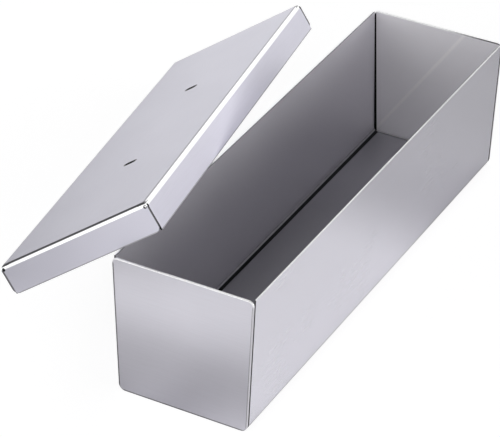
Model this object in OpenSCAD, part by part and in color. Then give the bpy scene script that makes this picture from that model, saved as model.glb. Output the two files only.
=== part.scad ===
// Pate mould in sheet steel: a trough folded from one sheet, two end plates welded
// across its ends, and a folded lid that drops over the rim. The lid is off, leaning on
// the mould: its skirt lies on the left rim and its far left corner stands on the table.
// Millimetres, +Z up. The origin is on the table, under the middle of the base, with the
// mould's length along Y and its front end at -Y.

/* [Mould] */
// Length outside, over both end plates
mould_length = 300; // [200:5:400]
// Width outside, at the rim
rim_width = 82; // [78:1:110]
// Width outside, at the base, before its bends are rounded
base_width = 76; // [60:1:78]
// Height from the table to the rim
mould_height = 82; // [60:1:100]
// Thickness of the trough's and the lid's sheet
sheet = 1; // [0.8:0.1:1.5]
// Outside radius of the two bends between the floor and the walls
bend_radius = 4; // [2:0.5:8]

/* [End plates] */
// Thickness of an end plate
plate_thickness = 1.5; // [1:0.1:2]
// Radius of a plate's two upper corners
plate_top_radius = 3; // [1:0.5:6]

/* [Welds] */
// Gap between an end plate and the trough, which the weld fills
seam_gap = 0.8; // [0.3:0.1:1.2]
// Depth of a weld below both faces of the sheet
weld_recess = 0.3; // [0.1:0.05:0.35]
// Bare seam above the skirt's edge, before a lid corner's weld begins
weld_foot = 4; // [3.5:0.5:6]

/* [Lid] */
// Gap all round between the mould's rim and the inside of the skirt
lid_gap = 4; // [1:0.5:6]
// Height of the lid outside, from the skirt's edge to the top
skirt_height = 17; // [14:1:25]
// Outside radius of the bends between the top and the skirts
lid_bend_radius = 2.5; // [2:0.5:4]
// Width of the open seam at each corner of the skirt
corner_seam = 0.5; // [0.3:0.1:0.8]
// Radius of the end skirts' lower corners
skirt_corner_radius = 3.5; // [1:0.5:3.5]
// Diameter of the bend relief holes at the top of each corner seam
relief_diameter = 1.4; // [1:0.1:1.8]
// Distance of the end skirts' relief holes from the lid's long sides
relief_inset = 1.4; // [1:0.1:2]
// Depth of the relief holes' centres below the lid's top
relief_depth = 2.2; // [1.8:0.1:2.6]

/* [Vents] */
// Length of a vent slot, across the lid
vent_length = 6.5; // [4:0.5:20]
// Width of a vent slot
vent_width = 3; // [1:0.5:3.5]
// Distance between the two vents' centres
vent_spacing = 116; // [60:2:160]
// Distance of the vents' midpoint from the lid's own, towards the rear
vent_shift = 2; // [-10:1:10]

/* [Leaning lid] */
// Turn of the lid in its own plane
lid_turn = 15.5; // [5:0.5:25]
// How far the lid's front right corner reaches past the left rim, up the slope
lid_reach = 25; // [12:1:30]
// Distance of the lid's middle behind the mould's middle
lid_shift = 2; // [0:1:20]
// Clearance under the lid, at the rim and at the table
rest_gap = 0.2; // [0.1:0.05:0.3]

/* [Hidden] */

$fn = 48;
// Steps in an arc that is drawn point by point
arc_steps = 12;
steel_colour = [0.80, 0.79, 0.83];
weld_colour = [0.36, 0.35, 0.37];
// Overrun of a cut past the face it opens
cut = 1;

front = -1;
rear = 1;
left = -1;
right = 1;

// Lean of the long walls away from upright
wall_lean = atan((rim_width - base_width) / 2 / mould_height);
trough_length = mould_length - 2 * (plate_thickness + seam_gap);
// The welds stop where the end plates' upper corners begin
weld_top = mould_height - plate_top_radius;

lid_width = rim_width + 2 * (lid_gap + sheet);
lid_length = mould_length + 2 * (lid_gap + sheet);
relief_height = skirt_height - relief_depth;

// The long skirts end behind the end skirts, past the seam. The lid stands on the table
// on such an end, the far left one.
foot_x = lid_width / 2;
foot_y = lid_length / 2 - sheet - corner_seam;
// Distances up the slope, from the lid's middle to its front right corner and to its foot
corner_run = lid_width / 2 * cos(lid_turn) + lid_length / 2 * sin(lid_turn);
foot_run = foot_x * cos(lid_turn) + foot_y * sin(lid_turn);
// The skirts' edges lie in one plane, which holds the left rim and the foot
middle_run = corner_run - lid_reach;
lid_tilt = asin(mould_height / (middle_run + foot_run));

// Half the mould's width outside at a height, less an inset square to the wall
function wall_x(height, inset = 0) =
    base_width / 2 + height * tan(wall_lean) - inset / cos(wall_lean);

// Points along an arc between two directions
function arc(centre, radius, from, to) = [
    for (i = [0:arc_steps])
        let (angle = from + (to - from) * i / arc_steps)
            centre + radius * [cos(angle), sin(angle)]
];

function reversed(points) = [for (i = [len(points) - 1:-1:0]) points[i]];

// An outline from left to right, made from its right half, which starts at the middle
function across(half) = concat([for (p = reversed(half)) [-p[0], p[1]]], half);

// The bend from the floor to the right wall, at a depth into the sheet
function base_bend(inset) =
    arc([wall_x(bend_radius, bend_radius), bend_radius], bend_radius - inset, -90, -wall_lean);

// The trough's outline from rim to rim at a depth into its sheet, up to a height
function trough_outline(inset, top) =
    across(concat(base_bend(inset), [[wall_x(top, inset), top]]));

// A profile in X and Z, drawn out along Y about the middle
module along_y(length) {
    translate([0, length / 2, 0])
        rotate([90, 0, 0])
            linear_extrude(length)
                children();
}

// A profile in Y and Z, drawn out along X about the middle
module along_x(length) {
    rotate([0, 0, 90])
        along_y(length)
            children();
}

// The U of sheet between two depths, up to a height
module trough_section(outer, inner, top) {
    polygon(concat(trough_outline(outer, top), reversed(trough_outline(inner, top))));
}

// An end plate's outline: flush with the trough's outside, with its upper corners rounded
module plate_outline() {
    shoulder = mould_height - plate_top_radius;
    corner = [wall_x(shoulder, plate_top_radius), shoulder];
    polygon(across(concat(base_bend(0), arc(corner, plate_top_radius, -wall_lean, 90))));
}

module trough_sheet() {
    color(steel_colour)
        along_y(trough_length)
            trough_section(0, sheet, mould_height);
}

module end_plate(end) {
    color(steel_colour)
        translate([0, end * (mould_length - plate_thickness) / 2, 0])
            along_y(plate_thickness)
                plate_outline();
}

// The weld round the U between an end plate and the trough, set back from both faces
module seam_weld(end) {
    color(weld_colour)
        translate([0, end * (trough_length + seam_gap) / 2, 0])
            along_y(seam_gap)
                trough_section(weld_recess, sheet - weld_recess, weld_top);
}

// The lid's section across one of its sides: upright skirts and a flat top, with round
// bends between them
module hood_section(width, inset, foot) {
    half = width / 2 - inset;
    top = skirt_height - inset;
    radius = lid_bend_radius - inset;
    translate([-half, foot])
        square([2 * half, top - radius - foot]);
    translate([radius - half, foot])
        square([2 * (half - radius), top - foot]);
    for (side = [left, right])
        translate([side * (half - radius), top - radius])
            circle(radius);
}

// The solid hood at a depth into the lid's sheet, with the bends meeting at its corners
module hood(inset, foot) {
    intersection() {
        along_y(lid_length)
            hood_section(lid_width, inset, foot);
        along_x(lid_width)
            hood_section(lid_length, inset, foot);
    }
}

// A seam through a long skirt beside an end skirt, with a relief hole at its top
module corner_cut(side, end) {
    seam_y = end * (lid_length / 2 - sheet - corner_seam / 2);
    translate([side * lid_width / 2, seam_y, relief_height / 2 - cut / 2])
        cube([2 * (sheet + cut), corner_seam, relief_height + cut], center = true);
    translate([side * lid_width / 2, seam_y, relief_height])
        rotate([0, 90, 0])
            cylinder(h = 2 * (sheet + cut), d = relief_diameter, center = true);
    translate([side * (lid_width / 2 - relief_inset), end * lid_length / 2, relief_height])
        rotate([90, 0, 0])
            cylinder(h = 2 * (sheet + cut), d = relief_diameter, center = true);
}

// What rounding an end skirt's lower corner takes off
module skirt_corner_cut(side, end) {
    translate([side * lid_width / 2, end * (lid_length - sheet) / 2, 0])
        along_y(sheet + corner_seam)
            difference() {
                square(2 * skirt_corner_radius, center = true);
                translate([-side * skirt_corner_radius, skirt_corner_radius])
                    circle(skirt_corner_radius);
            }
}

module vent_slot() {
    straight = vent_length - vent_width;
    translate([0, 0, skirt_height - sheet - cut])
        linear_extrude(sheet + 2 * cut) {
            square([straight, vent_width], center = true);
            for (side = [left, right])
                translate([side * straight / 2, 0])
                    circle(d = vent_width);
        }
}

// From the lid's own frame, centred on its skirts' edges, to where it leans
module leaning() {
    translate([-rim_width / 2, lid_shift, mould_height + rest_gap])
        rotate([0, -lid_tilt, 0])
            translate([-middle_run, 0, 0])
                rotate([0, 0, lid_turn])
                    children();
}

module lid_sheet() {
    color(steel_colour)
        leaning()
            difference() {
                hood(0, 0);
                hood(sheet, -cut);
                for (side = [left, right], end = [front, rear]) {
                    corner_cut(side, end);
                    skirt_corner_cut(side, end);
                }
                for (end = [front, rear])
                    translate([0, vent_shift + end * vent_spacing / 2, 0])
                        vent_slot();
            }
}

// The weld in a corner seam of the lid, between its bare foot and the relief hole
module lid_corner_weld(side, end) {
    top = relief_height - relief_diameter / 2;
    color(weld_colour)
        leaning()
            translate([
                side * (lid_width - sheet) / 2,
                end * (lid_length / 2 - sheet - corner_seam / 2),
                (weld_foot + top) / 2
            ])
                cube([sheet - 2 * weld_recess, corner_seam, top - weld_foot], center = true);
}

trough_sheet();
end_plate(front);  // front_end_plate
end_plate(rear);  // rear_end_plate
seam_weld(front);  // front_seam_weld
seam_weld(rear);  // rear_seam_weld
lid_sheet();
lid_corner_weld(left, front);  // lid_corner_weld_front_left
lid_corner_weld(right, front);  // lid_corner_weld_front_right
lid_corner_weld(left, rear);  // lid_corner_weld_rear_left
lid_corner_weld(right, rear);  // lid_corner_weld_rear_right
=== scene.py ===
"""A pate mould in satin stainless sheet, with its folded lid leaning on the rim.

Metres throughout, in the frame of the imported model: the origin is under the middle of
the mould's base, its length runs along Y with the front end at -Y, and Z is up.
"""

import math
import random

import bmesh
import bpy
from bpy.props import FloatProperty, FloatVectorProperty, IntProperty, PointerProperty
from mathutils import Matrix, Vector


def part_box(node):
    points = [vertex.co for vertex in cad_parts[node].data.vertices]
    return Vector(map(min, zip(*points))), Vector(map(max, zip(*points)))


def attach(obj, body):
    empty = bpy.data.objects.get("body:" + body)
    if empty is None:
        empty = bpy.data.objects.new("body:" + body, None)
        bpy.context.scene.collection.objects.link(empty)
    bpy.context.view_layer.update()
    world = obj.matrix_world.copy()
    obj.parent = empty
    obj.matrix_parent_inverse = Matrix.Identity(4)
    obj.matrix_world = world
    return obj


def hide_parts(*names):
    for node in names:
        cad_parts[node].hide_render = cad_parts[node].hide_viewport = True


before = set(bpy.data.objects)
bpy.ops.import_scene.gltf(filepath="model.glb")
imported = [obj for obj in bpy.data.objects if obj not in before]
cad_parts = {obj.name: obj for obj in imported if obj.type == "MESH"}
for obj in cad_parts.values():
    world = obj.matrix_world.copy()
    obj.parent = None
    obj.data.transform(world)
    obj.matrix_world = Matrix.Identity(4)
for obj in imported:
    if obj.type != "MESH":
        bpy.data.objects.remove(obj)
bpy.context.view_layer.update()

bl_info = {
    "name": "Pate mould",
    "version": (1, 0, 0),
    "blender": (4, 5, 0),
    "location": "3D View > Sidebar > Pate mould",
    "description": "Builds a welded sheet-steel pate mould and its leaning lid, finished in satin steel",
    "category": "Object",
}

MM = 0.001
ENDS = ("front", "rear")
# The sides, with their directions along X
SIDES = {"left": -1, "right": 1}

# Share of a light patch's half width over which it fades, on both sides of its border
PATCH_EDGE = 0.35
# Azimuth, elevation, half width and half height of each screen, in degrees
SCREENS = {
    "rear_screen": (20, 10, 60, 12),
    "right_screen": (70, 12, 40, 14),
    "front_screen": (165, 8, 70, 14),
    "high_screen": (-28, 31, 28, 10),
    "left_high_screen": (-60, 45, 25, 10),
    "right_high_screen": (75, 31, 45, 10),
}
# The same for the room's white surfaces, which only the metal shows
ROOM = {
    "ceiling": (0, 90, 360, 30),
    "left_wall": (-115, 25, 40, 25),
}
# Middle and half size of each lit place on the paper, in metres
PAPER_LIGHTS = {
    "right_glow": ((0.085, -0.05), (0.07, 0.11)),
    "rear_glow": ((-0.6, 0.6), (0.5, 0.5)),
    "front_glow": ((0.0, -0.25), (0.2, 0.04)),
    "far_front_glow": ((0.02, -0.5), (0.1, 0.07)),
    "far_right_glow": ((0.1, 0.17), (0.06, 0.1)),
    "plate_glow": ((-0.06, -0.21), (0.045, 0.06)),
}
# Middle and half size of each place where the paper lies in shade
PAPER_SHADES = {
    "left_shade": ((-0.09, -0.05), (0.045, 0.08)),
    "front_left_shade": ((-0.16, -0.33), (0.085, 0.08)),
    "lid_shade": ((-0.24, 0.12), (0.07, 0.2)),
}

# Ends of the streak on the end plates' inner faces, in X and Z
STREAK = (Vector((-34 * MM, 6 * MM)), Vector((15 * MM, 78 * MM)))

# The marks below fade in from the first distance to the second, both counted from an edge.
# From the streak's middle line
STREAK_EDGE = (1.6 * MM, 0.2 * MM)
# Outwards from where a plate's outer rounding begins, and from its inner face
PLATE_LIP = (-0.05 * MM, 0.10 * MM)
PLATE_INNER_LIP = (0.55 * MM, 0.35 * MM)
# Inwards from where a plate's rounding ends, and how much wider it is at the left and bottom, where shade
# is painted
PLATE_BORDER = (0.35 * MM, 0.15 * MM)
SHADED_EXTRA = 0.2 * MM
# Outwards from the trough's end
PLATE_INSIDE = (1.2 * MM, 1.0 * MM)
# Inwards from a long wall's inside, and how much narrower it is at the rim
PLATE_FOLD = (1.4 * MM, 1.1 * MM)
PLATE_FOLD_TAPER = 0.8 * MM
# Inwards from the rim's inside, and up from the table
RIM_LIP = (-0.38 * MM, -0.25 * MM)
TROUGH_FOOT = (3.5 * MM, 3.0 * MM)
# Outwards from the inside of the trough's bends
FOLD_DEPTH = (0.5 * MM, 0.3 * MM)
# From the lid's corners, its skirts' edges, its left side and a relief hole's border
CORNER_REACH = (6 * MM, 5 * MM)
LID_HEM = (0.65 * MM, 0.45 * MM)
LID_SIDE = (1.2 * MM, 0.9 * MM)
RELIEF_RIM = (0.35 * MM, 0.20 * MM)

# Sideways from a plate's middle, for its left and its right
SHADED_LEFT = (0.0, -5 * MM)
PLATE_RIGHT = (0.0, 30 * MM)
# Upwards from the table, and from where a plate's upper corners begin
SHADED_BELOW = (2 * MM, 1 * MM)
PLATE_SHOULDER = (1 * MM, -1 * MM)
# Upwards from the foot of the lid's bends, and from its top
LID_FOOT = (0.0, -1 * MM)
LID_SIDE_TOP = (-2 * MM, -3 * MM)
# Outwards from the border of a vent's painted shade
VENT_BORDER = (0.1 * MM, -0.1 * MM)
# Depth into a long skirt down to which the heat of its seam tints it fully
SEAM_DEPTH = 0.1 * MM

# Angles between which the painted shade and highlights in the bends lie, in degrees from the wall or the
# lid's top, and how far they fade past them
BEND_INSIDE = (16, 84)
BEND_BLACK_SHADE = (46, 84)
BEND_BLUR = 4
LID_SHOULDER = (6, 28)
LID_END_SHOULDER = (2, 44)
LID_FOLD = (28, 86)
LID_BLUR = 5

# Sizes of the handling marks, of the nicks in an edge and of the burnt patches of a weld
HANDLING_SIZE = 45 * MM
NICK_SIZE = 0.8 * MM
BURN_SIZE = 1.5 * MM
# Between which values of their noise scratches, handling marks and nicks fade in
SCRATCH_STEP = (0.3, 0.7)
HANDLING_STEP = (0.38, 0.66)
NICK_STEP = (0.25, 0.6)
# Brightness of a nick, and of a weld's darkest and palest patches
NICK_SHADE = 0.85
BURN_SHADES = (0.6, 1.4)
# Share of the heat tint's width that is fully tinted
TINT_CORE = 0.3
# How far grain, nicks and burnt patches take the roughness from its property, and what a
# handling mark and a tint add to it
GRAIN_ROUGHNESS = (-0.008, 0.008)
NICK_ROUGHNESS = (-0.07, 0.08)
BURN_ROUGHNESS = (-0.1, 0.1)
HANDLING_ROUGHNESS = 0.02
TINT_ROUGHNESS = 0.2

# A bead's section, in half widths and half thicknesses
BEAD_SECTION = (
    (1, -0.7), (1, 0.7), (0.55, 0.93), (0, 1), (-0.55, 0.93),
    (-1, 0.7), (-1, -0.7), (-0.55, -0.93), (0, -1), (0.55, -0.93),
)
# Most that a ripple stands proud or short, as a share of the bead
RIPPLE_LIFT = 0.08

# Less than any size of the mould
HAIR = 0.01 * MM
# Share of a relief hole's diameter within which a face's middle has to lie to line it, and
# how far in from the skirt's outside, in thicknesses of the sheet
HOLE_LINING = 0.52
HOLE_REACH = 1.5
# Share of the lid's width, inwards from its sides, that a vent slot doesn't reach
VENTLESS = 1 / 6
# What a normal has along an axis: less where the face runs along it, more where it lies across
RUNS_ALONG = 0.5
LIES_ACROSS = 0.9
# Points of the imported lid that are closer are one, and faces that turn less are flat
MERGE_DISTANCE = 0.002 * MM
FLAT_ANGLE = math.radians(0.3)
# Edges that turn more are cut edges, and get rounded
SHARP_ANGLE = math.radians(32)

# Turns from X to the grain's direction
UNTURNED = Matrix.Identity(4)
QUARTER_TURN = Matrix.Rotation(math.pi / 2, 4, "Z")


def span(node, axis):
    """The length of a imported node's box along an axis."""
    low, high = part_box(node)
    return high[axis] - low[axis]


def length_of(name, default, description):
    """A length property in metres."""
    return FloatProperty(name=name, description=description, default=default, min=0.0, unit="LENGTH")


def angle_of(name, degrees, description):
    """An angle property, from degrees."""
    return FloatProperty(
        name=name, description=description, default=math.radians(degrees), subtype="ANGLE"
    )


def share_of(name, default, description, top=1.0):
    """A plain number property."""
    return FloatProperty(name=name, description=description, default=default, min=0.0, max=top)


def colour_of(name, default, description):
    """A colour property, in linear values."""
    return FloatVectorProperty(
        name=name, description=description, default=default, subtype="COLOR", min=0.0, max=1.0
    )


class MouldSizes(bpy.types.PropertyGroup):
    """The folded trough and its two end plates"""

    rim_width: length_of("Rim width", span("trough_sheet", 0), "Outside, at the rim")
    base_width: length_of("Base width", 76 * MM, "Outside, at the base, before its bends")
    height: length_of("Height", span("trough_sheet", 2), "From the table to the rim")
    trough_length: length_of("Trough length", span("trough_sheet", 1), "Between the two seams")
    sheet: length_of("Sheet", 1 * MM, "Thickness of the trough's sheet")
    bend_radius: length_of("Bend radius", 4 * MM, "Outside, between the floor and the walls")
    seam_gap: length_of("Seam gap", 0.8 * MM, "Between the trough and an end plate")
    plate_thickness: length_of("Plate", span("front_end_plate", 1), "Thickness of an end plate")
    plate_radius: length_of("Plate corners", 3 * MM, "Radius of the two upper corners of a plate")
    rim_deburr: length_of("Rim deburr", 0.2 * MM, "Rounding of the trough's cut edges")
    plate_deburr: length_of("Plate deburr", 0.5 * MM, "Rounding of the end plates' edges")
    bend_steps: IntProperty(name="Bend steps", description="Facets in a bend", default=20, min=4)


class LidSizes(bpy.types.PropertyGroup):
    """The folded lid, and how it leans"""

    width: length_of("Width", 92 * MM, "Outside, across the long skirts")
    length: length_of("Length", 310 * MM, "Outside, across the end skirts")
    skirt: length_of("Skirt", 17 * MM, "From the skirts' edge to the top")
    sheet: length_of("Sheet", 1 * MM, "Thickness of the lid's sheet")
    bend_radius: length_of("Bend radius", 2.5 * MM, "Outside, between the top and the skirts")
    corner_seam: length_of("Corner seam", 0.5 * MM, "Width of the open seam at each corner")
    deburr: length_of("Deburr", 0.2 * MM, "Rounding of the lid's cut edges")
    turn: angle_of("Turn", 15.5, "Turn of the lid in its own plane")
    reach: length_of("Reach", 25 * MM, "From the left rim to the corner above it, up the slope")
    shift: length_of("Shift", 2 * MM, "Distance of the lid's middle behind the mould's")
    rest_gap: length_of("Rest gap", 0.2 * MM, "Clearance under the lid")
    vent_length: length_of("Vent length", 6.5 * MM, "Length of a vent slot, across the lid")
    vent_width: length_of("Vent width", 3 * MM, "Width of a vent slot")
    # Painted shade round each vent slot
    vent_shade_width: length_of("Vent stain", 1 * MM, "Width of the dark rim round a vent slot")
    vent_spacing: length_of("Vent spacing", 116 * MM, "Between the two vents' middles")
    vent_shift: length_of("Vent shift", 2 * MM, "From the lid's middle to the vents' midpoint")
    relief_diameter: length_of("Relief holes", 1.4 * MM, "Diameter of the holes at the corners")
    relief_inset: length_of("Relief inset", 1.4 * MM, "From the end skirts' holes to the long sides")
    relief_depth: length_of("Relief depth", 2.2 * MM, "From the lid's top to the holes' middles")


class WeldSizes(bpy.types.PropertyGroup):
    """The rippled beads in the seams"""

    recess: length_of("Recess", 0.3 * MM, "Depth of a bead below both faces of the sheet")
    pitch: length_of("Ripple pitch", 1.1 * MM, "Distance between two ripples")
    ripple: share_of("Ripple", 0.22, "Depth of a ripple, as a share of the bead")
    crescent: share_of("Crescent", 0.5, "How far a ripple bows along the bead")
    steps: IntProperty(name="Steps", description="Rings in a ripple", default=5, min=3)


class SteelFinish(bpy.types.PropertyGroup):
    """The satin sheet"""

    colour: colour_of("Colour", (0.708, 0.696, 0.752), "Satin face of the sheet")
    lid_colour: colour_of("Lid colour", (0.705, 0.695, 0.778), "Satin face of the lid")
    # Cut edges are paler than the sheet, and near white here as a painted highlight
    edge_colour: colour_of("Edge colour", (0.97, 0.97, 0.98), "Cut and deburred edges")
    # Painted shade: near black, laid in the trough's folds, the plates' inner corners, the lid's corners,
    # round its vents and relief holes and on its cut faces
    black_shade_colour: colour_of("Scale colour", (0.012, 0.012, 0.013), "Baked-on scale in the folds")
    weld_colour: colour_of("Weld colour", (0.06, 0.058, 0.065), "Bead, dulled by heat")
    tint_colour: colour_of("Heat tint", (0.14, 0.135, 0.147), "Sheet beside a seam")
    # Painted shade: dark lips on the rim, the plates' edges, the lid's end bends and its edges below the
    # bends
    lip_shade_colour: colour_of("Lip colour", (0.10, 0.098, 0.106), "Grimed lip of an edge that nothing rubs")
    grain_contrast: share_of("Grain contrast", 0.02, "Colour difference across the grain")
    side_colour: colour_of("Side colour", (0.62, 0.61, 0.65), "Plates' edges below the rim")
    # Painted shade: dark borders on the plates' outer faces, the trough's foot and the lid's left
    border_shade_colour: colour_of("Border colour", (0.20, 0.195, 0.21), "Grimed borders of the outer faces")
    # Painted shade: a dark border at the foot of the lid's skirts
    hem_shade_colour: colour_of("Hem colour", (0.42, 0.415, 0.44), "Grimed hem of the lid's skirts")
    # Painted reflection: a dark line where the lid's bends leave its top
    shoulder_shade_colour: colour_of("Shoulder colour", (0.40, 0.395, 0.42), "Where the lid's bends begin")
    # Painted shade: a darker inside of the trough's bends
    bend_shade_colour: colour_of("Bend colour", (0.30, 0.295, 0.315), "Inside of the trough's bends")
    plate_colour: colour_of("Plate colour", (0.635, 0.624, 0.675), "Outer faces of the end plates")
    # Painted highlight: near white on the outside of the lid's bends
    fold_highlight_colour: colour_of("Fold colour", (0.95, 0.95, 0.96), "Burnished outside of the lid's bends")
    # Painted light: the end plates' inner faces are much paler than their outer ones
    plate_inside_light_colour: colour_of("Inner plates", (0.93, 0.92, 0.945), "Inner faces of the end plates")
    # A pure white streak across the plates' inner faces
    streak_colour: colour_of("Wipe streak", (1.0, 0.99, 1.0), "Streak on the plates' inner faces")
    # Painted light: the long walls' inner faces are paler than the sheet outside
    wall_inside_light_colour: colour_of("Inner walls", (0.765, 0.754, 0.79), "Inner faces of the long walls")
    # Painted shade: the inner face of the floor is painted dark
    floor_colour: colour_of("Inner floor", (0.31, 0.306, 0.334), "Inner face of the floor, darkened by use")
    roughness: share_of("Roughness", 0.25, "Satin face of the trough")
    lid_roughness: share_of("Lid roughness", 0.34, "Satin face of the lid")
    plate_roughness: share_of("Plate roughness", 0.30, "Satin face of the end plates")
    inside_roughness: share_of("Inside roughness", 0.22, "Added on the trough's inner faces")
    plate_inside_roughness: share_of("Inner plate roughness", 0.35, "Added on the plates' inner faces")
    edge_roughness: share_of("Edge roughness", 0.38, "Cut edges")
    edge_metallic: share_of("Edge metallic", 0.5, "Cut edges; their burr scatters the rest of the light")
    weld_roughness: share_of("Weld roughness", 0.5, "Beads")
    grain_pitch: length_of("Grain pitch", 0.35 * MM, "Width of one scratch of the grain")
    grain_length: length_of("Grain length", 14 * MM, "Length of one scratch of the grain")
    grain_depth: length_of("Grain depth", 0.00012 * MM, "Height of the grain")
    wave_length: length_of("Waves", 60 * MM, "Distance between the sheet's shallow waves")
    wave_depth: length_of("Wave depth", 0.01 * MM, "Height of the shallow waves")
    tint_width: length_of("Tint width", 0.2 * MM, "Reach of the heat tint from a seam")


class StageSetup(bpy.types.PropertyGroup):
    """Camera, floor and light"""

    lens: FloatProperty(name="Lens", description="Focal length in mm", default=196.06, min=1.0)
    azimuth: angle_of("Azimuth", 28.112, "Camera's turn round the mould")
    elevation: angle_of("Elevation", 33.117, "Camera's height above the horizon")
    roll: angle_of("Roll", 0.88, "Camera's roll")
    distance: length_of("Distance", 1.442, "From the camera to its aim")
    aim: FloatVectorProperty(
        name="Aim", description="Point that the camera looks at",
        default=(-0.0100, -0.0600, 0.0644), subtype="XYZ", unit="LENGTH",
    )
    floor_size: length_of("Floor size", 6.0, "Side of the square floor")
    floor_colour: colour_of("Floor colour", (0.86, 0.86, 0.87), "Paper under the mould")
    shadow: share_of("Shadow", 0.25, "How much of the mould's shadow the camera sees")
    softbox_power: FloatProperty(name="Softbox", description="Power in watts", default=10.0, min=0.0)
    softbox_width: length_of("Softbox width", 1.8, "Its longer side")
    softbox_depth: length_of("Softbox depth", 1.4, "Its shorter side")
    softbox_place: FloatVectorProperty(
        name="Softbox place", description="Middle of the softbox, which faces the mould",
        default=(-0.2, -1.3, 0.9), subtype="XYZ", unit="LENGTH",
    )
    rear_screen: share_of("Rear screen", 1.36, "Radiance of the low screen behind the mould", 5.0)
    right_screen: share_of("Right screen", 1.4, "Radiance of the low screen at the right", 5.0)
    front_screen: share_of("Front screen", 1.3, "Radiance of the low screen in front", 5.0)
    high_screen: share_of("High screen", 1.4, "Radiance of the screen above the rear one", 5.0)
    left_high_screen: share_of("Left high screen", 1.4, "Radiance of the highest one, at the left", 5.0)
    right_high_screen: share_of("Right high screen", 0.57, "Radiance of the one above the right one", 5.0)
    ceiling: share_of("Ceiling", 0.75, "Radiance of the ceiling, in the metal", 5.0)
    left_wall: share_of("Left wall", 0.8, "Radiance of the wall at the left, in the metal", 5.0)
    paper_fill: share_of("Paper fill", 0.06, "Light all over the paper, in the metal")
    right_glow: share_of("Right glow", 0.38, "Light on the paper beside the front half")
    rear_glow: share_of("Rear glow", 0.72, "Light on the paper behind, at the left")
    front_glow: share_of("Front glow", 0.52, "Light on the paper in front")
    far_front_glow: share_of("Far front glow", 0.8, "Light on the paper further in front")
    far_right_glow: share_of("Far right glow", 0.07, "Light on the paper beside the rear half")
    plate_glow: share_of("Plate glow", 0.14, "Light on the paper before the front plate's left")
    lid_shade: share_of("Lid shade", 0.5, "How dark the paper is beside the lid's left")
    left_shade: share_of("Left shade", 0.8, "How dark the paper is beside the mould's left")
    front_left_shade: share_of("Front left shade", 0.9, "How dark the paper is before the lid")
    paper_white: share_of("Paper white", 1.2, "Brightness of the paper that the camera sees", 5.0)


def mould_sizes():
    return bpy.context.scene.pate_mould


def lid_sizes():
    return bpy.context.scene.pate_lid


def weld_sizes():
    return bpy.context.scene.pate_welds


def steel_finish():
    return bpy.context.scene.pate_steel


def stage_setup():
    return bpy.context.scene.pate_stage


# Shader helpers

def plug(tree, given, socket):
    """Feeds a socket with a field, another socket, a number or a colour."""
    if isinstance(given, Field):
        given = given.socket
    if isinstance(given, bpy.types.NodeSocket):
        tree.links.new(given, socket)
    elif isinstance(given, (int, float)):
        socket.default_value = given
    else:
        socket.default_value = (*given, 1.0)


def set_up(thing, **settings):
    """Gives a thing its settings."""
    for key, setting in settings.items():
        setattr(thing, key, setting)
    return thing


def wired(tree, kind, *given, **settings):
    """A node with its first sockets fed in their order. None leaves a socket as it is."""
    node = set_up(tree.nodes.new(kind), **settings)
    for socket, value in zip(node.inputs, given):
        if value is not None:
            plug(tree, value, socket)
    return node


class Field:
    """A number that varies over a surface: a shader socket that takes plain arithmetic."""

    def __init__(self, tree, socket):
        self.tree = tree
        self.socket = socket

    def __add__(self, other):
        return reckon("ADD", self, other)

    __radd__ = __add__

    def __sub__(self, other):
        return reckon("SUBTRACT", self, other)

    def __rsub__(self, other):
        return reckon("SUBTRACT", other, self)

    def __mul__(self, other):
        return reckon("MULTIPLY", self, other)

    def __rtruediv__(self, other):
        return reckon("DIVIDE", other, self)

    def __abs__(self):
        return reckon("ABSOLUTE", self)

    def fade(self, start, end, edge=0.0):
        """Smooth step from 0 at start to 1 at end, both counted from an edge."""
        node = wired(
            self.tree, "ShaderNodeMapRange", self, edge + start, edge + end,
            interpolation_type="SMOOTHSTEP",
        )
        return Field(self.tree, node.outputs["Result"])

    def between(self, start, end, blur):
        """Mask of the angles between two, in degrees, with soft borders."""
        opens = self.fade(-math.radians(blur), math.radians(blur), math.radians(start))
        return opens * self.fade(math.radians(blur), -math.radians(blur), math.radians(end))

    def spread(self, middle, offsets):
        """A value round a middle, from one offset where the field is 0 to the other where it is 1."""
        low, high = offsets
        return self * (high - low) + (middle + low)


def reckon(operation, *given):
    """The field that a math node makes from fields and numbers."""
    tree = next(value.tree for value in given if isinstance(value, Field))
    node = wired(tree, "ShaderNodeMath", *given, operation=operation)
    return Field(tree, node.outputs["Value"])


def largest(first, *others):
    """The largest of some fields at each point."""
    for other in others:
        first = reckon("MAXIMUM", first, other)
    return first


def smallest(a, b):
    """The smaller of two fields at each point."""
    return reckon("MINIMUM", a, b)


def hypotenuse(a, b):
    """Distance to a point, from the distances along two axes."""
    return reckon("SQRT", a * a + b * b)


def turn_of(a, b):
    """Angle whose sine goes with a and whose cosine goes with b."""
    return reckon("ARCTAN2", a, b)


class Place:
    """Coordinates of a shaded point, as three fields."""

    def __init__(self, tree, vector):
        split = wired(tree, "ShaderNodeSeparateXYZ", vector)
        self.x, self.y, self.z = (Field(tree, split.outputs[axis]) for axis in "XYZ")


def noise(tree, vector, scale, detail):
    """Noise from 0 to 1 over a vector."""
    node = wired(tree, "ShaderNodeTexNoise", vector, None, scale, detail)
    return Field(tree, node.outputs["Fac"])


def blend(factor, a, b):
    """A mix of two colours, from a where the factor is 0 to b where it is 1."""
    node = wired(factor.tree, "ShaderNodeMix", factor, data_type="RGBA")
    # The node's colours are its sockets 6 and 7 and its output 2
    plug(factor.tree, a, node.inputs[6])
    plug(factor.tree, b, node.inputs[7])
    return node.outputs[2]


def dimmed(colour, share):
    """A colour at a share of its brightness."""
    return tuple(share * c for c in colour)


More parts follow.
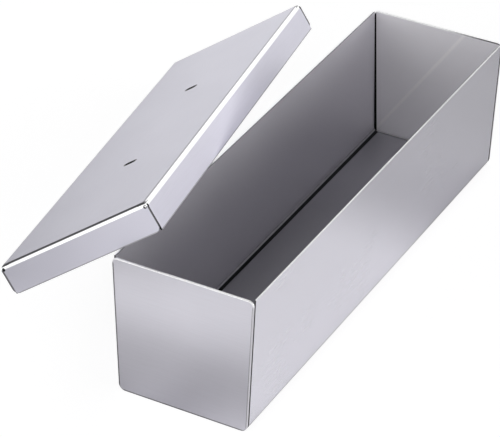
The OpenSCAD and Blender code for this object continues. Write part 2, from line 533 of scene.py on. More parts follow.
def new_group(name, inputs, outputs):
    """An empty shader group with named sockets, and its two end nodes."""
    tree = bpy.data.node_groups.new(name, "ShaderNodeTree")
    for socket, kind, default in inputs:
        made = tree.interface.new_socket(name=socket, in_out="INPUT", socket_type=kind)
        if default is not None:
            made.default_value = default
    for socket, kind in outputs:
        tree.interface.new_socket(name=socket, in_out="OUTPUT", socket_type=kind)
    return tree, tree.nodes.new("NodeGroupInput"), tree.nodes.new("NodeGroupOutput")


def use_group(tree, group, **values):
    """Places a group in a tree. Gives its outputs as fields."""
    node = tree.nodes.new("ShaderNodeGroup")
    node.node_tree = group
    for key, given in values.items():
        plug(tree, given, node.inputs[key])
    return {socket.name: Field(tree, socket) for socket in node.outputs}


def grain_group():
    """Fine drawn-out scratches along X: a height in metres and a scratch from 0 to 1."""
    name = "sheet grain"
    if name in bpy.data.node_groups:
        return bpy.data.node_groups[name]
    tree, start, end = new_group(
        name,
        (
            ("Vector", "NodeSocketVector", None),
            ("Pitch", "NodeSocketFloat", 0.35 * MM),
            ("Length", "NodeSocketFloat", 14 * MM),
            ("Depth", "NodeSocketFloat", 0.00012 * MM),
        ),
        (("Height", "NodeSocketFloat"), ("Scratch", "NodeSocketFloat")),
    )
    pitch, length, depth = (Field(tree, start.outputs[key]) for key in ("Pitch", "Length", "Depth"))
    across = 1.0 / pitch
    scale = wired(tree, "ShaderNodeCombineXYZ", 1.0 / length, across, across)
    stretched = wired(
        tree, "ShaderNodeVectorMath", start.outputs["Vector"], scale.outputs["Vector"],
        operation="MULTIPLY",
    )
    scratch = noise(tree, stretched.outputs["Vector"], scale=1.0, detail=3.0)
    plug(tree, scratch, end.inputs["Scratch"])
    plug(tree, scratch * depth, end.inputs["Height"])
    return tree


def handling_group():
    """Soft patches where the sheet was wiped and handled: a mask from 0 to 1."""
    name = "handling marks"
    if name in bpy.data.node_groups:
        return bpy.data.node_groups[name]
    tree, start, end = new_group(
        name,
        (("Vector", "NodeSocketVector", None), ("Size", "NodeSocketFloat", HANDLING_SIZE)),
        (("Mask", "NodeSocketFloat"),),
    )
    scaled = wired(tree, "ShaderNodeVectorMath", start.outputs["Vector"], operation="SCALE")
    plug(tree, 1.0 / Field(tree, start.outputs["Size"]), scaled.inputs["Scale"])
    broad = noise(tree, scaled.outputs["Vector"], scale=1.0, detail=4.0)
    plug(tree, broad.fade(*HANDLING_STEP), end.inputs["Mask"])
    return tree


def new_material(name):
    """A metal with a Principled BSDF and object coordinates."""
    material = bpy.data.materials.new(name)
    material.use_nodes = True
    tree = material.node_tree
    shader = tree.nodes["Principled BSDF"]
    shader.inputs["Metallic"].default_value = 1.0
    spot = tree.nodes.new("ShaderNodeTexCoord").outputs["Object"]
    return material, tree, shader, spot


def in_frame(tree, vector, own):
    """Coordinates in a frame of their own, which own carries to the mould's."""
    node = wired(tree, "ShaderNodeMapping", vector, vector_type="TEXTURE")
    node.inputs["Location"].default_value = own.translation
    node.inputs["Rotation"].default_value = own.to_euler("XYZ")
    return node.outputs["Vector"]


def heat_tint(distance):
    """Mask of the tint beside a seam, from the distance to it."""
    reach = steel_finish().tint_width
    return distance.fade(reach, TINT_CORE * reach)


def satin_steel(name, sheet_colour, sheet_roughness, grain, marked, seam=None, own=UNTURNED):
    """Satin sheet with a fine grain, marks and a heat tint beside a seam.

    own is the piece's own frame, and grain turns X to the grain's direction there. marked
    has, for each mark, what makes its mask from a place in that frame, the colour that it
    lays over the sheet and, for some, the roughness that it adds. seam, where given, makes
    the distance to the nearest seam from a place.
    """
    if name in bpy.data.materials:
        return bpy.data.materials[name]
    finish = steel_finish()
    material, tree, shader, spot = new_material(name)
    at = Place(tree, in_frame(tree, spot, own))
    scratches = use_group(
        tree, grain_group(), Vector=in_frame(tree, spot, own @ grain), Pitch=finish.grain_pitch,
        Length=finish.grain_length, Depth=finish.grain_depth,
    )
    handled = use_group(tree, handling_group(), Vector=spot, Size=HANDLING_SIZE)
    scratch = scratches["Scratch"].fade(*SCRATCH_STEP)
    dark = dimmed(sheet_colour, 1 - finish.grain_contrast)
    light = dimmed(sheet_colour, 1 + finish.grain_contrast / 2)
    colour = blend(scratch, dark, light)
    roughness = scratch.spread(sheet_roughness, GRAIN_ROUGHNESS)
    roughness = roughness + handled["Mask"] * HANDLING_ROUGHNESS
    if seam:
        near = heat_tint(seam(at))
        colour = blend(near, colour, finish.tint_colour)
        roughness = roughness + near * TINT_ROUGHNESS
    for make_mask, laid, *rougher in marked:
        mask = make_mask(at)
        colour = blend(mask, colour, laid)
        for extra in rougher:
            roughness = roughness + mask * extra
    waves = noise(tree, spot, 1.0 / finish.wave_length, detail=1.0)
    bump = tree.nodes.new("ShaderNodeBump")
    bump.inputs["Distance"].default_value = 1.0
    plug(tree, waves * finish.wave_depth + scratches["Height"], bump.inputs["Height"])
    plug(tree, colour, shader.inputs["Base Color"])
    plug(tree, roughness, shader.inputs["Roughness"])
    plug(tree, bump.outputs["Normal"], shader.inputs["Normal"])
    return material


def cut_edge(name, edge_colour, marked=(), seam=None, own=UNTURNED):
    """Deburred edge of the sheet, rougher than its faces.

    marked, seam and own are as in satin_steel, but no mark adds roughness.
    """
    if name in bpy.data.materials:
        return bpy.data.materials[name]
    finish = steel_finish()
    material, tree, shader, spot = new_material(name)
    at = Place(tree, in_frame(tree, spot, own))
    nicks = noise(tree, spot, 1.0 / NICK_SIZE, detail=2.0)
    colour = blend(nicks.fade(*NICK_STEP), dimmed(edge_colour, NICK_SHADE), edge_colour)
    for make_mask, laid in marked:
        colour = blend(make_mask(at), colour, laid)
    if seam:
        colour = blend(heat_tint(seam(at)), colour, finish.tint_colour)
    shader.inputs["Metallic"].default_value = finish.edge_metallic
    plug(tree, colour, shader.inputs["Base Color"])
    plug(tree, nicks.spread(finish.edge_roughness, NICK_ROUGHNESS), shader.inputs["Roughness"])
    return material


def weld_metal():
    """Bead dulled by heat."""
    name = "weld_metal"
    if name in bpy.data.materials:
        return bpy.data.materials[name]
    finish = steel_finish()
    material, tree, shader, spot = new_material(name)
    burnt = noise(tree, spot, 1.0 / BURN_SIZE, detail=3.0)
    colour = blend(burnt, *(dimmed(finish.weld_colour, share) for share in BURN_SHADES))
    plug(tree, colour, shader.inputs["Base Color"])
    plug(tree, burnt.spread(finish.weld_roughness, BURN_ROUGHNESS), shader.inputs["Roughness"])
    return material


# Masks of the mould, from a place in its frame

def from_wall(at):
    """Distance inwards from the nearer long wall's outside."""
    return wall_x(at.z) - abs(at.x)


def trough_seam(at):
    """Distance along the trough from its nearer end."""
    return mould_sizes().trough_length / 2 - abs(at.y)


def plate_side(at):
    """Mask of a plate's edge below its upper corners, where the edge's painted highlight gives way to grey.
    """
    return at.z.fade(*PLATE_SHOULDER, mould_sizes().height - mould_sizes().plate_radius)


def plate_shaded_sides(at):
    """Mask of a plate's left and bottom borders, where shade is painted."""
    return largest(at.x.fade(*SHADED_LEFT), at.z.fade(*SHADED_BELOW))


def plate_shade_lip(at):
    """Mask of the outer lip of a plate's left and bottom edges, painted dark as shade."""
    sizes = mould_sizes()
    outside = sizes.trough_length / 2 + sizes.seam_gap + sizes.plate_thickness
    outer = abs(at.y).fade(*PLATE_LIP, outside - sizes.plate_deburr)
    return outer * plate_side(at) * plate_shaded_sides(at)


def plate_inner_shade_lip(at):
    """Mask of the inner lip of a plate's top edge, towards its right end, painted dark as shade."""
    sizes = mould_sizes()
    lip = abs(at.y).fade(*PLATE_INNER_LIP, sizes.trough_length / 2 + sizes.seam_gap)
    return lip * at.x.fade(*PLATE_RIGHT)


def plate_shade_border(at):
    """Mask of a narrow border of a plate's outer face, all round but at the top, painted dark as shade."""
    inset = smallest(from_wall(at), at.z) - plate_shaded_sides(at) * SHADED_EXTRA
    return inset.fade(*PLATE_BORDER, mould_sizes().plate_deburr) * plate_side(at)


def plate_inside(at):
    """Mask of a plate's inner face."""
    return abs(at.y).fade(*PLATE_INSIDE, mould_sizes().trough_length / 2)


def plate_corner_shade(at):
    """Mask of a plate's inner face, along the long walls' insides, painted near black as shade in the
    corner. It narrows upwards.
    """
    away = from_wall(at) + at.z * (PLATE_FOLD_TAPER / mould_sizes().height)
    return plate_inside(at) * away.fade(*PLATE_FOLD, mould_sizes().sheet)


def pale_streak(at):
    """Mask of a faint pale streak across a plate's inner face."""
    low, high = STREAK
    run = (high - low).normalized()
    aside = (at.x - low.x) * run.y - (at.z - low.y) * run.x
    return abs(aside).fade(*STREAK_EDGE) * plate_inside(at)


def rim_shade_lip(at):
    """Mask of the inner lip of the trough's rim, painted dark as shade."""
    return from_wall(at).fade(*RIM_LIP, mould_sizes().sheet)


def trough_inside(at):
    """Mask of the trough's inner faces."""
    sheet = mould_sizes().sheet
    return smallest(from_wall(at), at.z).fade(0.6 * sheet, 0.9 * sheet)


def trough_floor_shade(at):
    """Mask of the floor's inner face, painted dark as shade."""
    sheet = mould_sizes().sheet
    return at.z.fade(2 * sheet, 1.3 * sheet) * trough_inside(at)


def trough_foot_shade(at):
    """Mask of the underside of the trough's bends, painted dark as contact shade."""
    return at.z.fade(*TROUGH_FOOT) * (1.0 - trough_inside(at))


def fold_mask(at, angles):
    """Mask of the inside of the bends beside the floor, between two angles from the wall, where shade is
    painted.
    """
    sizes = mould_sizes()
    beside = abs(at.x) - wall_x(sizes.bend_radius, sizes.bend_radius)
    below = sizes.bend_radius - at.z
    inside = hypotenuse(beside, below).fade(*FOLD_DEPTH, sizes.bend_radius - sizes.sheet)
    return inside * turn_of(below, beside).between(*angles, BEND_BLUR)


def trough_bend_shade(at):
    """Mask of the whole inside of the bends beside the floor, painted darker as shade."""
    return fold_mask(at, BEND_INSIDE)


def trough_fold_shade(at):
    """Mask of the lower part of those bends, where near black shade is painted."""
    return fold_mask(at, BEND_BLACK_SHADE)


# Masks of the lid, from a place in its own frame

def lid_insets(at):
    """Distances inwards from the lid's long sides and from its ends."""
    return lid_sizes().width / 2 - abs(at.x), lid_sizes().length / 2 - abs(at.y)


def lid_bend(at, angles):
    """Mask of the outside of the lid's bends, between two angles from its top, for the dark line and the
    highlight painted there.
    """
    radius = lid_sizes().bend_radius
    past_side = radius - smallest(*lid_insets(at))
    turn = turn_of(past_side, at.z - (lid_sizes().skirt - radius))
    return turn.between(*angles, LID_BLUR)


def lid_shoulder_shade(at):
    """Mask of the bends where they leave the lid's top, painted dark as a reflection."""
    return lid_bend(at, LID_SHOULDER)


def lid_fold_highlight(at):
    """Mask of the rest of the lid's bends, painted near white as a highlight."""
    return lid_bend(at, LID_FOLD)


def lid_end_shoulder_shade(at):
    """Mask of the two bends at the lid's ends where they leave its top, wider and painted darker as shade.
    """
    radius = lid_sizes().bend_radius
    return lid_insets(at)[1].fade(1.5 * radius, radius) * lid_bend(at, LID_END_SHOULDER)


def lid_corner_shade(at):
    """Mask of the inside of the lid's corners, painted near black as shade."""
    sheet = lid_sizes().sheet
    near = largest(*lid_insets(at)).fade(*CORNER_REACH)
    inside = smallest(*lid_insets(at)).fade(0.5 * sheet, 0.8 * sheet)
    under = at.z.fade(-0.4 * sheet, -0.8 * sheet, lid_sizes().skirt)
    return near * inside * under


def lid_hem_shade(at):
    """Mask of a narrow border at the foot of the lid's skirts, painted darker as shade."""
    return at.z.fade(*LID_HEM)


def lid_foot_shade(at):
    """Mask of the lid's edges below its bends, painted dark as shade."""
    return at.z.fade(*LID_FOOT, lid_sizes().skirt - lid_sizes().bend_radius)


def lid_side_shade(at):
    """Mask of a narrow border at the left of the end skirts, painted dark as shade."""
    lid = lid_sizes()
    left = (at.x + lid.width / 2).fade(*LID_SIDE)
    outer = lid_insets(at)[1].fade(lid.sheet / 2, 0.0)
    return left * outer * at.z.fade(*LID_SIDE_TOP, lid.skirt)


def lid_vent_shade(at):
    """Mask of the two vent slots and a painted shade round them."""
    lid = lid_sizes()
    aside = largest(abs(at.x) - (lid.vent_length - lid.vent_width) / 2, 0.0)
    ahead = abs(at.y - lid.vent_shift) - lid.vent_spacing / 2
    rim = lid.vent_width / 2 + lid.vent_shade_width
    return hypotenuse(aside, ahead).fade(*VENT_BORDER, rim)


def relief_holes(at):
    """Distances from the middle of the relief holes, in the long skirts and in the end ones.

    They run along the skirt, up it and inwards from its outside.
    """
    lid = lid_sizes()
    aside, ahead = lid_insets(at)
    above = at.z - (lid.skirt - lid.relief_depth)
    in_long = ahead - (lid.sheet + lid.corner_seam / 2)
    return (in_long, above, aside), (aside - lid.relief_inset, above, ahead)


def lid_relief_shade(at):
    """Mask of the relief holes at the lid's corners and a painted shade round them."""
    lid = lid_sizes()
    return largest(*(
        hypotenuse(along, above).fade(*RELIEF_RIM, lid.relief_diameter / 2)
        * inset.fade(2 * lid.sheet, 1.5 * lid.sheet)
        for along, above, inset in relief_holes(at)
    ))


def lid_seam(at):
    """Distance along a long skirt from its corner seam, on the lid's outside."""
    lid = lid_sizes()
    aside, ahead = lid_insets(at)
    inwards = aside - SEAM_DEPTH
    above_skirt = at.z - (lid.skirt - lid.bend_radius)
    return largest(ahead - (lid.sheet + lid.corner_seam), inwards, above_skirt)


# Mesh helpers

def wall_lean():
    """Lean of the long walls away from upright."""
    sizes = mould_sizes()
    return math.atan2((sizes.rim_width - sizes.base_width) / 2, sizes.height)


def wall_x(height, inset=0.0):
    """Half the mould's width outside at a height, less an inset square to the wall."""
    lean = wall_lean()
    return mould_sizes().base_width / 2 + height * math.tan(lean) - inset / math.cos(lean)


def arc(centre_x, centre_z, radius, start, end):
    """Points in X and Z along an arc between two directions."""
    steps = mould_sizes().bend_steps
    angles = [start + (end - start) * i / steps for i in range(steps + 1)]
    return [(centre_x + radius * math.cos(a), centre_z + radius * math.sin(a)) for a in angles]


def across(half):
    """An outline from left to right, made from its right half."""
    return [(-x, z) for x, z in reversed(half)] + half


def base_bend(inset):
    """The bend from the floor to the right wall, at a depth into the sheet."""
    radius = mould_sizes().bend_radius
    return arc(wall_x(radius, radius), radius, radius - inset, -math.pi / 2, -wall_lean())


def trough_outline(inset, top):
    """The trough's section from rim to rim, at a depth into its sheet and up to a height."""
    return across(base_bend(inset) + [(wall_x(top, inset), top)])


def plate_outline():
    """An end plate: flush with the trough's outside, with its upper corners rounded."""
    sizes = mould_sizes()
    shoulder = sizes.height - sizes.plate_radius
    corner = arc(
        wall_x(shoulder, sizes.plate_radius), shoulder, sizes.plate_radius, -wall_lean(), math.pi / 2
    )
    return across(base_bend(0.0) + corner)


def placed(name, data):
    """Links an object with its data to the scene."""
    made = bpy.data.objects.new(name, data)
    bpy.context.scene.collection.objects.link(made)
    return made


def object_from(name, mesh, *materials):
    """Links an object made from a bmesh."""
    data = bpy.data.meshes.new(name)
    bmesh.ops.recalc_face_normals(mesh, faces=mesh.faces)
    mesh.to_mesh(data)
    mesh.free()
    for material in materials:
        data.materials.append(material)
    return placed(name, data)


def lofted(rings):
    """A closed solid through rings of points, with a flat face at either end."""
    mesh = bmesh.new()
    rows = [[mesh.verts.new(point) for point in ring] for ring in rings]
    for a, b in zip(rows, rows[1:]):
        for j in range(len(a)):
            k = (j + 1) % len(a)
            mesh.faces.new((a[j], a[k], b[k], b[j]))
    mesh.faces.new(rows[0])
    mesh.faces.new(reversed(rows[-1]))
    return mesh


def smoothed(piece):
    """Gives a piece smooth shading."""
    for face in piece.data.polygons:
        face.use_smooth = True
    return piece


def deburr(piece, width, segments=2):
    """Rounds the sharp edges of a piece and gives its bends smooth shading."""
    set_up(
        piece.modifiers.new("deburr", "BEVEL"), width=width, segments=segments,
        limit_method="ANGLE", angle_limit=SHARP_ANGLE, material=len(piece.data.materials) - 1,
        use_clamp_overlap=True, miter_outer="MITER_ARC",
    )
    set_up(
        piece.modifiers.new("flat faces", "WEIGHTED_NORMAL"), mode="FACE_AREA", weight=100,
        keep_sharp=True,
    )
    smoothed(piece)


def assign(piece, body, node):
    """Hangs a piece on its body's empty and hides the imported node that it stands for."""
    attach(piece, body)
    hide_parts(node)


class OBJECT_OT_pate_trough(bpy.types.Operator):
    """Folds the trough: floor and long walls, in one sheet"""

    bl_idname = "object.pate_trough"
    bl_label = "Trough"

    def execute(self, context):
        sizes = mould_sizes()
        finish = steel_finish()
        half = sizes.trough_length / 2
        outer, inner = (trough_outline(inset, sizes.height) for inset in (0.0, sizes.sheet))
        rings = [
            [(x, -half, z), (x, half, z), (inner_x, half, inner_z), (inner_x, -half, inner_z)]
            for (x, z), (inner_x, inner_z) in zip(outer, inner)
        ]
        # The inner walls are painted paler as light, and the floor, foot and bends are painted darker as
        # shade
        satin = satin_steel(
            "trough_satin", finish.colour, finish.roughness, QUARTER_TURN,
            [(trough_inside, finish.wall_inside_light_colour, finish.inside_roughness),
             (trough_floor_shade, finish.floor_colour), (trough_foot_shade, finish.border_shade_colour),
             (trough_bend_shade, finish.bend_shade_colour), (trough_fold_shade, finish.black_shade_colour)],
            trough_seam,
        )
        rim = cut_edge(
            "trough_rim", finish.edge_colour, [(rim_shade_lip, finish.lip_shade_colour)], trough_seam
        )
        trough = object_from("trough", lofted(rings), satin, rim)
        for face in trough.data.polygons:
            if all(trough.data.vertices[v].co.z > sizes.height - HAIR for v in face.vertices):
                face.material_index = 1
        deburr(trough, sizes.rim_deburr)
        assign(trough, "mould", "trough_sheet")
        return {"FINISHED"}


class OBJECT_OT_pate_end_plates(bpy.types.Operator):
    """Cuts the two end plates"""

    bl_idname = "object.pate_end_plates"
    bl_label = "End plates"

    def execute(self, context):
        finish = steel_finish()
        satin = satin_steel(
            "plate_satin", finish.plate_colour, finish.plate_roughness, UNTURNED,
            [(plate_shade_border, finish.border_shade_colour),
             (plate_inside, finish.plate_inside_light_colour, finish.plate_inside_roughness),
             (pale_streak, finish.streak_colour), (plate_corner_shade, finish.black_shade_colour)],
        )
        edge = cut_edge(
            "plate_edge", finish.edge_colour,
            [(plate_side, finish.side_colour), (plate_shade_lip, finish.lip_shade_colour),
             (plate_inner_shade_lip, finish.lip_shade_colour)],
        )
        for end in ENDS:
            low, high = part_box(f"{end}_end_plate")
            rings = [[(x, y, z) for x, z in plate_outline()] for y in (low.y, high.y)]
            plate = object_from(f"{end}_plate", lofted(rings), satin, edge)
            for face in plate.data.polygons:
                if abs(face.normal.y) < RUNS_ALONG:
                    face.material_index = 1
            deburr(plate, mould_sizes().plate_deburr, segments=3)
            assign(plate, "mould", f"{end}_end_plate")
        return {"FINISHED"}


def bead(name, path, width, sheet, seed):
    """A rippled weld bead, as wide as its seam, in sheet of a thickness.

    path has, at each step, a point, the direction across the seam and the direction
    square to the sheet. Ripples bow along the bead, as a travelling puddle leaves them.
    """
    welds = weld_sizes()
    draw = random.Random(seed)
    lifts = [
        draw.uniform(-RIPPLE_LIFT, RIPPLE_LIFT) for _ in range(len(path) // welds.steps + 3)
    ]
    thickness = sheet - 2 * welds.recess
    rings = []
    for i, (point, side, up) in enumerate(path):
        ring = []
        for u, v in BEAD_SECTION:
            turn = i / welds.steps + welds.crescent * u * u + 1
            phase = turn % 1.0
            swell = 1 - welds.ripple * (2 * phase - 1) ** 2 + lifts[int(turn)] * 4 * phase * (1 - phase)
            ring.append(point + side * (u * width / 2) + up * (v * swell * thickness / 2))
        rings.append(ring)
    return smoothed(object_from(name, lofted(rings), weld_metal()))


def stepped(points):
    """A line of points walked in a bead's even steps: each point and the direction of travel."""
    step = weld_sizes().pitch / weld_sizes().steps
    walked = []
    gone = 0.0
    wanted = 0.0
    for a, b in zip(points, points[1:]):
        leg = (b - a).length
        way = (b - a).normalized()
        while wanted <= gone + leg:
            walked.append((a + way * (wanted - gone), way))
            wanted += step
        gone += leg
    return walked


class OBJECT_OT_pate_seam_welds(bpy.types.Operator):
    """Runs the weld round the U between each end plate and the trough"""

    bl_idname = "object.pate_seam_welds"
    bl_label = "Seam welds"

    def execute(self, context):
        sheet = mould_sizes().sheet
        across_seam = Vector((0, 1, 0))
        for seed, end in enumerate(ENDS):
            low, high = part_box(f"{end}_seam_weld")
            outline = trough_outline(sheet / 2, high.z)
            middle = [Vector((x, (low.y + high.y) / 2, z)) for x, z in outline]
            path = [
                (point, across_seam, way.cross(across_seam)) for point, way in stepped(middle)
            ]
            weld = bead(f"{end}_seam", path, high.y - low.y, sheet, seed)
            assign(weld, "mould", f"{end}_seam_weld")
        return {"FINISHED"}


def leaning():
    """From the lid's own frame, centred on its skirts' edges, to where it leans."""
    sizes = mould_sizes()
    lid = lid_sizes()
    corner_run = lid.width / 2 * math.cos(lid.turn) + lid.length / 2 * math.sin(lid.turn)
    foot_y = lid.length / 2 - lid.sheet - lid.corner_seam
    foot_run = lid.width / 2 * math.cos(lid.turn) + foot_y * math.sin(lid.turn)
    middle_run = corner_run - lid.reach
    tilt = math.asin(sizes.height / (middle_run + foot_run))
    return (
        Matrix.Translation((-sizes.rim_width / 2, lid.shift, sizes.height + lid.rest_gap))
        @ Matrix.Rotation(-tilt, 4, "Y")
        @ Matrix.Translation((-middle_run, 0, 0))
        @ Matrix.Rotation(lid.turn, 4, "Z")
    )


def is_cut(centre, facing):
    """Whether a face of the lid, in its own frame, lines a slot, a corner seam or a relief hole."""
    lid = lid_sizes()
    aside, ahead = lid_insets(centre)
    in_top = centre.z > lid.skirt - lid.sheet and aside > VENTLESS * lid.width
    in_slot = in_top and abs(facing.z) < RUNS_ALONG
    in_seam = aside < lid.sheet < ahead and abs(facing.y) > LIES_ACROSS
    in_relief = any(
        math.hypot(along, above) < HOLE_LINING * lid.relief_diameter and inset < HOLE_REACH * lid.sheet
        for along, above, inset in relief_holes(centre)
    )
    return in_slot or in_seam or in_relief


class OBJECT_OT_pate_lid(bpy.types.Operator):
    """Folds the lid: a flat top with four skirts, slots and relief holes"""

    bl_idname = "object.pate_lid"
    bl_label = "Lid"

    def execute(self, context):
        mesh = bmesh.new()
        mesh.from_mesh(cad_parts["lid_sheet"].data)
        bmesh.ops.remove_doubles(mesh, verts=mesh.verts, dist=MERGE_DISTANCE)
        bmesh.ops.dissolve_limit(
            mesh, angle_limit=FLAT_ANGLE, verts=mesh.verts, edges=mesh.edges
        )
        finish = steel_finish()
        satin = satin_steel(
            "lid_satin", finish.lid_colour, finish.lid_roughness, QUARTER_TURN,
            [(lid_shoulder_shade, finish.shoulder_shade_colour), (lid_fold_highlight, finish.fold_highlight_colour),
             (lid_end_shoulder_shade, finish.lip_shade_colour), (lid_corner_shade, finish.black_shade_colour),
             (lid_hem_shade, finish.hem_shade_colour), (lid_side_shade, finish.border_shade_colour),
             (lid_vent_shade, finish.black_shade_colour), (lid_relief_shade, finish.black_shade_colour)],
            lid_seam, leaning(),
        )
        edge = cut_edge(
            "lid_edge", finish.edge_colour,
            [(lid_foot_shade, finish.lip_shade_colour), (lid_vent_shade, finish.black_shade_colour),
             (lid_relief_shade, finish.black_shade_colour)],
            None, leaning(),
        )
        # The faces lining the slots, corner seams and relief holes are painted near black as shade
        made = object_from("lid", mesh, satin, cut_edge("lid_cut", finish.black_shade_colour), edge)
        back = leaning().inverted()
        for face in made.data.polygons:
            if is_cut(back @ face.center, back.to_3x3() @ face.normal):
                face.material_index = 1
        deburr(made, lid_sizes().deburr)
        assign(made, "lid", "lid_sheet")
        return {"FINISHED"}


class OBJECT_OT_pate_corner_welds(bpy.types.Operator):
    """Runs the short welds in the lid's corner seams"""

    bl_idname = "object.pate_corner_welds"
    bl_label = "Corner welds"

    def execute(self, context):
        lid = lid_sizes()
        place = leaning()
        turn = place.to_3x3()
        across_seam = turn @ Vector((0, 1, 0))
        seed = len(ENDS)
        for end in ENDS:
            for side, outwards in SIDES.items():
                node = f"lid_corner_weld_{end}_{side}"
                corners = [place.inverted() @ v.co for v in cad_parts[node].data.vertices]
                low, high = (Vector(map(pick, zip(*corners))) for pick in (min, max))
                middle = (low + high) / 2
                ends = [place @ Vector((middle.x, middle.y, z)) for z in (low.z, high.z)]
                off_sheet = turn @ Vector((outwards, 0, 0))
                path = [(point, across_seam, off_sheet) for point, _ in stepped(ends)]
                weld = bead(
                    f"lid_{end}_{side}_corner", path, lid.corner_seam, lid.sheet, seed
                )
                seed += 1
                assign(weld, "lid", node)
        return {"FINISHED"}


def soft_patch(distances, halves):
    """Mask of a soft rectangle, from the distances to its middle and its half sizes."""
    wide, high = (
        away.fade((1 + PATCH_EDGE) * half, (1 - PATCH_EDGE) * half)
        for away, half in zip(distances, halves)
    )
    return wide * high


def sky_patch(at, azimuth, elevation, wide, high):
    """Mask of a soft patch of the room, from its middle and its half width and height.

    Azimuth is 0 behind the mould, at +Y, and grows to its right.
    """
    turned = reckon("WRAP", turn_of(at.x, at.y) - math.radians(azimuth), math.pi, -math.pi)
    raised = reckon("ARCSINE", at.z) - math.radians(elevation)
    return soft_patch((abs(turned), abs(raised)), (math.radians(wide), math.radians(high)))


def world_light():
    """Soft screens round the mould, in a white room that only the metal shows. White to the camera."""
    setup = stage_setup()
    world = bpy.data.worlds.new("room")
    bpy.context.scene.world = world
    world.use_nodes = True
    tree = world.node_tree
    at = Place(tree, tree.nodes.new("ShaderNodeTexCoord").outputs["Generated"])
    path = tree.nodes.new("ShaderNodeLightPath")
    in_metal = Field(tree, path.outputs["Is Glossy Ray"])
    camera_ray = Field(tree, path.outputs["Is Camera Ray"])
    light = 0.0
    for name, shape in SCREENS.items():
        light = sky_patch(at, *shape) * getattr(setup, name) + light
    for name, shape in ROOM.items():
        light = largest(light, sky_patch(at, *shape) * getattr(setup, name) * in_metal)
    shown = blend(camera_ray, light, (1.0, 1.0, 1.0))
    plug(tree, shown, tree.nodes["Background"].inputs["Color"])


def paper_patch(at, centre, half):
    """Mask of a soft rectangle on the paper."""
    return soft_patch([abs(at.x - centre[0]), abs(at.y - centre[1])], half)


def paper_glow(at):
    """Light of the lit places on the paper."""
    glow = stage_setup().paper_fill
    for name, shape in PAPER_LIGHTS.items():
        glow = paper_patch(at, *shape) * getattr(stage_setup(), name) + glow
    return glow


def paper_colour(at):
    """Colour of the paper, darker in its shaded places."""
    setup = stage_setup()
    colour = setup.floor_colour
    for name, shape in PAPER_SHADES.items():
        dark = dimmed(setup.floor_colour, 1 - getattr(setup, name))
        colour = blend(paper_patch(at, *shape), colour, dark)
    return colour


def floor_paper():
    """Plain white paper with a faint shadow to the camera, lit and shaded paper to all else."""
    setup = stage_setup()
    material = bpy.data.materials.new("floor_paper")
    material.use_nodes = True
    tree = material.node_tree
    tree.nodes.remove(tree.nodes["Principled BSDF"])
    at = Place(tree, tree.nodes.new("ShaderNodeTexCoord").outputs["Object"])
    camera_ray = Field(tree, tree.nodes.new("ShaderNodeLightPath").outputs["Is Camera Ray"])
    plain = wired(tree, "ShaderNodeBsdfDiffuse", setup.floor_colour).outputs["BSDF"]
    white = wired(tree, "ShaderNodeEmission", None, setup.paper_white).outputs["Emission"]
    shaded = wired(tree, "ShaderNodeBsdfDiffuse", paper_colour(at)).outputs["BSDF"]
    lit = wired(tree, "ShaderNodeEmission", None, paper_glow(at)).outputs["Emission"]
    unseen = wired(tree, "ShaderNodeAddShader", shaded, lit).outputs["Shader"]
    paper = wired(tree, "ShaderNodeMixShader", camera_ray, unseen, plain).outputs["Shader"]
    bleached = camera_ray * (1.0 - setup.shadow)
    shown = wired(tree, "ShaderNodeMixShader", bleached, paper, white).outputs["Shader"]
    plug(tree, shown, tree.nodes["Material Output"].inputs["Surface"])
    return material


def add_floor():
    setup = stage_setup()
    mesh = bmesh.new()
    bmesh.ops.create_grid(mesh, x_segments=1, y_segments=1, size=setup.floor_size / 2)
    object_from("floor", mesh, floor_paper())


def add_softbox():
    setup = stage_setup()
    lamp = set_up(
        bpy.data.lights.new("softbox", "AREA"), shape="RECTANGLE", size=setup.softbox_width,
        size_y=setup.softbox_depth, energy=setup.softbox_power,
    )
    facing = -Vector(setup.softbox_place)
    set_up(
        placed("softbox", lamp), location=setup.softbox_place,
        rotation_euler=facing.to_track_quat("-Z", "Y").to_euler(),
    )


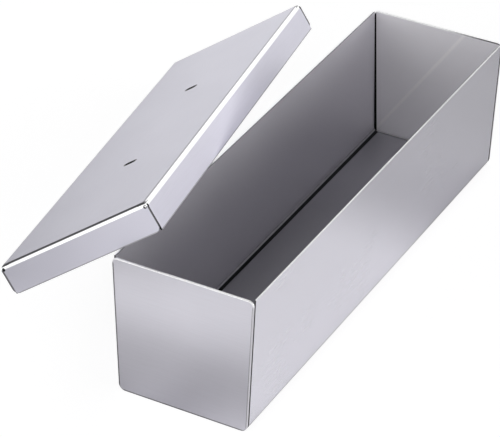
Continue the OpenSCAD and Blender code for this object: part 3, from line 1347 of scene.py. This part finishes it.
def add_camera():
    setup = stage_setup()
    camera = placed("camera", set_up(
        bpy.data.cameras.new("camera"), lens=setup.lens, sensor_width=36.0, sensor_fit="HORIZONTAL"
    ))
    a = setup.azimuth
    e = setup.elevation
    back = Vector((math.sin(a) * math.cos(e), -math.cos(a) * math.cos(e), math.sin(e)))
    level = (-back).to_track_quat("-Z", "Y").to_matrix().to_4x4()
    place = Matrix.Translation(Vector(setup.aim) + back * setup.distance)
    camera.matrix_world = place @ level @ Matrix.Rotation(setup.roll, 4, "Z")
    bpy.context.scene.camera = camera


class OBJECT_OT_pate_stage(bpy.types.Operator):
    """Sets out the floor, the light and the camera"""

    bl_idname = "object.pate_stage"
    bl_label = "Stage"

    def execute(self, context):
        context.scene.view_settings.view_transform = "Standard"
        add_camera()
        add_floor()
        add_softbox()
        world_light()
        return {"FINISHED"}


class VIEW3D_PT_pate_mould(bpy.types.Panel):
    """Lists the mould's pieces"""

    bl_label = "Pate mould"
    bl_idname = "VIEW3D_PT_pate_mould"
    bl_space_type = "VIEW_3D"
    bl_region_type = "UI"
    bl_category = "Pate mould"

    def draw(self, context):
        for operator in OPERATORS:
            self.layout.operator(operator.bl_idname)
        for name in SETTINGS:
            box = self.layout.box()
            group = getattr(context.scene, name)
            for key in group.__annotations__:
                box.prop(group, key)


OPERATORS = (
    OBJECT_OT_pate_stage,
    OBJECT_OT_pate_trough,
    OBJECT_OT_pate_end_plates,
    OBJECT_OT_pate_seam_welds,
    OBJECT_OT_pate_lid,
    OBJECT_OT_pate_corner_welds,
)
SETTINGS = {
    "pate_mould": MouldSizes,
    "pate_lid": LidSizes,
    "pate_welds": WeldSizes,
    "pate_steel": SteelFinish,
    "pate_stage": StageSetup,
}


def register():
    for cls in (*SETTINGS.values(), *OPERATORS, VIEW3D_PT_pate_mould):
        bpy.utils.register_class(cls)
    for name, group in SETTINGS.items():
        setattr(bpy.types.Scene, name, PointerProperty(type=group))


def unregister():
    for name in SETTINGS:
        delattr(bpy.types.Scene, name)
    for cls in (VIEW3D_PT_pate_mould, *reversed(OPERATORS), *reversed(SETTINGS.values())):
        bpy.utils.unregister_class(cls)


def main():
    register()
    bpy.ops.object.pate_stage()
    bpy.ops.object.pate_trough()
    bpy.ops.object.pate_end_plates()
    bpy.ops.object.pate_seam_welds()
    bpy.ops.object.pate_lid()
    bpy.ops.object.pate_corner_welds()


if __name__ == "__main__":
    main()
